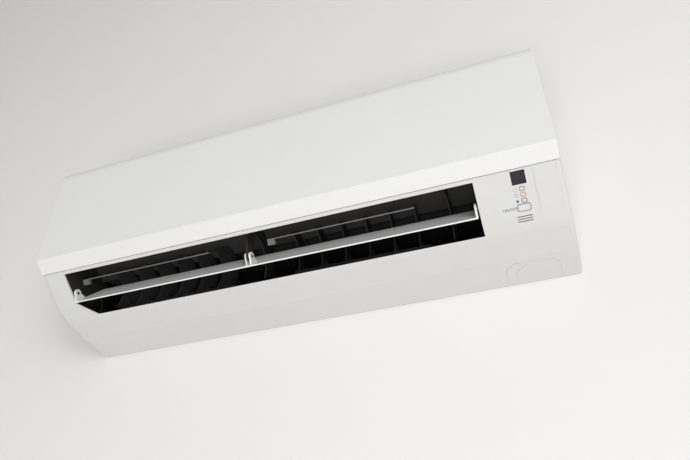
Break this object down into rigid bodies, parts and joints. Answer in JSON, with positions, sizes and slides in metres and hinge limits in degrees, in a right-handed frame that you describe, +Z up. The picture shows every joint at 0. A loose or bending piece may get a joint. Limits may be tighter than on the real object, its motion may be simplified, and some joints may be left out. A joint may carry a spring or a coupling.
{
  "type": "mini split indoor unit",
  "caption": "White wall-hung indoor unit of a split air conditioner with hinged front panel, open air louver, side vanes and a fan behind the outlet.",
  "frame": {"origin": "centre of the wall plate's back face, on the wall", "axes": "+X to the right as seen from the room, +Y into the wall, +Z up"},
  "size_m": [0.78, 0.1996, 0.275],
  "materials": {
    "white_shell": "satin",
    "panel_white": "satin",
    "dark_liner": "matte",
    "vane_grey": "satin",
    "zinc_steel": "satin",
    "fin_aluminium": "satin",
    "copper_tube": "satin",
    "brass_union": "satin",
    "black_plastic": "matte",
    "filter_white": "matte",
    "filter_net": "matte",
    "circuit_board": "satin",
    "lamp_lens": "gloss",
    "receiver_window": "gloss",
    "key_plastic": "satin",
    "rubber": "matte",
    "screw_steel": "satin",
    "pan_white": "matte",
    "louver_white": "satin",
    "link_grey": "satin",
    "fan_plastic": "satin",
    "box_plastic": "matte",
    "shaft_steel": "satin",
    "motor_shell": "satin"
  },
  "bodies": {
    "unit": {"wall_plate": "zinc_steel", "rear_chassis": "black_plastic", "front_cover": "white_shell", "filter_frame_left": "filter_white", "filter_frame_right": "filter_white", "filter_mesh_left": "filter_net", "filter_mesh_right": "filter_net", "coil_lower": "fin_aluminium", "coil_upper": "fin_aluminium", "coil_rear": "fin_aluminium", "coil_tubes": "copper_tube", "coil_end_left": "zinc_steel", "coil_end_right": "zinc_steel", "gas_pipe": "copper_tube", "liquid_pipe": "copper_tube", "gas_union": "brass_union", "liquid_union": "brass_union", "drain_pan": "pan_white", "drain_plug": "rubber", "fan_motor": "motor_shell", "motor_band": "black_plastic", "bearing_holder": "black_plastic", "fan_bearing": "rubber", "outlet_duct": "dark_liner", "louver_hanger": "dark_liner", "louver_end_pin": "dark_liner", "corner_fairing": "dark_liner", "fixed_ribs": "dark_liner", "louver_motor": "motor_shell", "vane_strip_left": "dark_liner", "vane_strip_right": "dark_liner", "control_box": "box_plastic", "control_box_lid": "box_plastic", "control_board": "circuit_board", "terminal_block": "box_plastic", "display_board": "circuit_board", "receiver_window": "receiver_window", "lamp_lenses": "lamp_lens", "room_sensor": "copper_tube", "case_screws": "screw_steel"},
    "panel": {"front_panel": "panel_white"},
    "fan": {"cross_flow_fan": "fan_plastic", "motor_shaft": "shaft_steel"},
    "louver_flap": {"louver": "louver_white", "louver_drive_pin": "link_grey"},
    "button": {"on_off_button": "key_plastic"},
    "link_left": {"link_bar_left": "link_grey"},
    "link_right": {"link_bar_right": "link_grey"},
    "left_vane_1": {"vane_left_1": "vane_grey"},
    "right_vane_1": {"vane_right_1": "vane_grey"},
    "left_vane_2": {"vane_left_2": "vane_grey"},
    "right_vane_2": {"vane_right_2": "vane_grey"},
    "left_vane_3": {"vane_left_3": "vane_grey"},
    "right_vane_3": {"vane_right_3": "vane_grey"},
    "left_vane_4": {"vane_left_4": "vane_grey"},
    "right_vane_4": {"vane_right_4": "vane_grey"},
    "left_vane_5": {"vane_left_5": "vane_grey"},
    "right_vane_5": {"vane_right_5": "vane_grey"},
    "left_vane_6": {"vane_left_6": "vane_grey"},
    "right_vane_6": {"vane_right_6": "vane_grey"}
  },
  "joints": [
    {"name": "panel_hinge", "type": "hinge", "parent": "unit", "child": "panel", "pos_m": [0, -0.175, 0.0965], "axis": [-1, 0, 0], "range_deg": [0, 65]},
    {"name": "louver_hinge", "type": "hinge", "parent": "unit", "child": "louver_flap", "pos_m": [0, -0.1415, -0.109], "axis": [1, 0, 0], "range_deg": [-79, 22]},
    {"name": "fan_spin", "type": "hinge", "parent": "unit", "child": "fan", "pos_m": [0, -0.08, -0.012], "axis": [1, 0, 0], "continuous": true},
    {"name": "button_press", "type": "slide", "parent": "unit", "child": "button", "axis": [0, 0.6136, 0.7896], "range_m": [0, 0.0012], "stiffness_N_per_m": 400},
    {"name": "left_vane_4_turn", "type": "hinge", "parent": "unit", "child": "left_vane_4", "pos_m": [-0.1846, -0.08064, -0.11149], "axis": [0, -0.5878, 0.809], "range_deg": [-1, 60]},
    {"name": "left_vane_1_turn", "type": "hinge", "parent": "unit", "child": "left_vane_1", "pos_m": [-0.292, -0.08064, -0.11149], "axis": [0, -0.5878, 0.809], "range_deg": [-1, 60]},
    {"name": "left_vane_2_turn", "type": "hinge", "parent": "unit", "child": "left_vane_2", "pos_m": [-0.2562, -0.08064, -0.11149], "axis": [0, -0.5878, 0.809], "range_deg": [-1, 60]},
    {"name": "left_vane_3_turn", "type": "hinge", "parent": "unit", "child": "left_vane_3", "pos_m": [-0.2204, -0.08064, -0.11149], "axis": [0, -0.5878, 0.809], "range_deg": [-1, 60]},
    {"name": "left_vane_5_turn", "type": "hinge", "parent": "unit", "child": "left_vane_5", "pos_m": [-0.1488, -0.08064, -0.11149], "axis": [0, -0.5878, 0.809], "range_deg": [-1, 60]},
    {"name": "left_vane_6_turn", "type": "hinge", "parent": "unit", "child": "left_vane_6", "pos_m": [-0.113, -0.08064, -0.11149], "axis": [0, -0.5878, 0.809], "range_deg": [-1, 60]},
    {"name": "left_link", "type": "hinge", "parent": "left_vane_4", "child": "link_left", "pos_m": [-0.19664, -0.13457, -0.0812], "axis": [0, -0.5878, 0.809], "range_deg": [-60, 1]},
    {"name": "right_vane_4_turn", "type": "hinge", "parent": "unit", "child": "right_vane_4", "pos_m": [0.1169, -0.08064, -0.11149], "axis": [0, -0.5878, 0.809], "range_deg": [-32, 32]},
    {"name": "right_vane_1_turn", "type": "hinge", "parent": "unit", "child": "right_vane_1", "pos_m": [0.0095, -0.08064, -0.11149], "axis": [0, -0.5878, 0.809], "range_deg": [-32, 32]},
    {"name": "right_vane_2_turn", "type": "hinge", "parent": "unit", "child": "right_vane_2", "pos_m": [0.0453, -0.08064, -0.11149], "axis": [0, -0.5878, 0.809], "range_deg": [-32, 32]},
    {"name": "right_vane_3_turn", "type": "hinge", "parent": "unit", "child": "right_vane_3", "pos_m": [0.0811, -0.08064, -0.11149], "axis": [0, -0.5878, 0.809], "range_deg": [-32, 32]},
    {"name": "right_vane_5_turn", "type": "hinge", "parent": "unit", "child": "right_vane_5", "pos_m": [0.1527, -0.08064, -0.11149], "axis": [0, -0.5878, 0.809], "range_deg": [-32, 32]},
    {"name": "right_vane_6_turn", "type": "hinge", "parent": "unit", "child": "right_vane_6", "pos_m": [0.1885, -0.08064, -0.11149], "axis": [0, -0.5878, 0.809], "range_deg": [-32, 32]},
    {"name": "right_link", "type": "hinge", "parent": "right_vane_4", "child": "link_right", "pos_m": [0.11789, -0.13672, -0.08276], "axis": [0, -0.5878, 0.809], "range_deg": [-32, 32]}
  ],
  "couplings": [
    {"joint": "left_vane_1_turn", "follows": "left_vane_4_turn", "ratio": 1},
    {"joint": "left_vane_2_turn", "follows": "left_vane_4_turn", "ratio": 1},
    {"joint": "left_vane_3_turn", "follows": "left_vane_4_turn", "ratio": 1},
    {"joint": "left_vane_5_turn", "follows": "left_vane_4_turn", "ratio": 1},
    {"joint": "left_vane_6_turn", "follows": "left_vane_4_turn", "ratio": 1},
    {"joint": "left_link", "follows": "left_vane_4_turn", "ratio": -1},
    {"joint": "right_vane_1_turn", "follows": "right_vane_4_turn", "ratio": 1},
    {"joint": "right_vane_2_turn", "follows": "right_vane_4_turn", "ratio": 1},
    {"joint": "right_vane_3_turn", "follows": "right_vane_4_turn", "ratio": 1},
    {"joint": "right_vane_5_turn", "follows": "right_vane_4_turn", "ratio": 1},
    {"joint": "right_vane_6_turn", "follows": "right_vane_4_turn", "ratio": 1},
    {"joint": "right_link", "follows": "right_vane_4_turn", "ratio": -1}
  ]
}
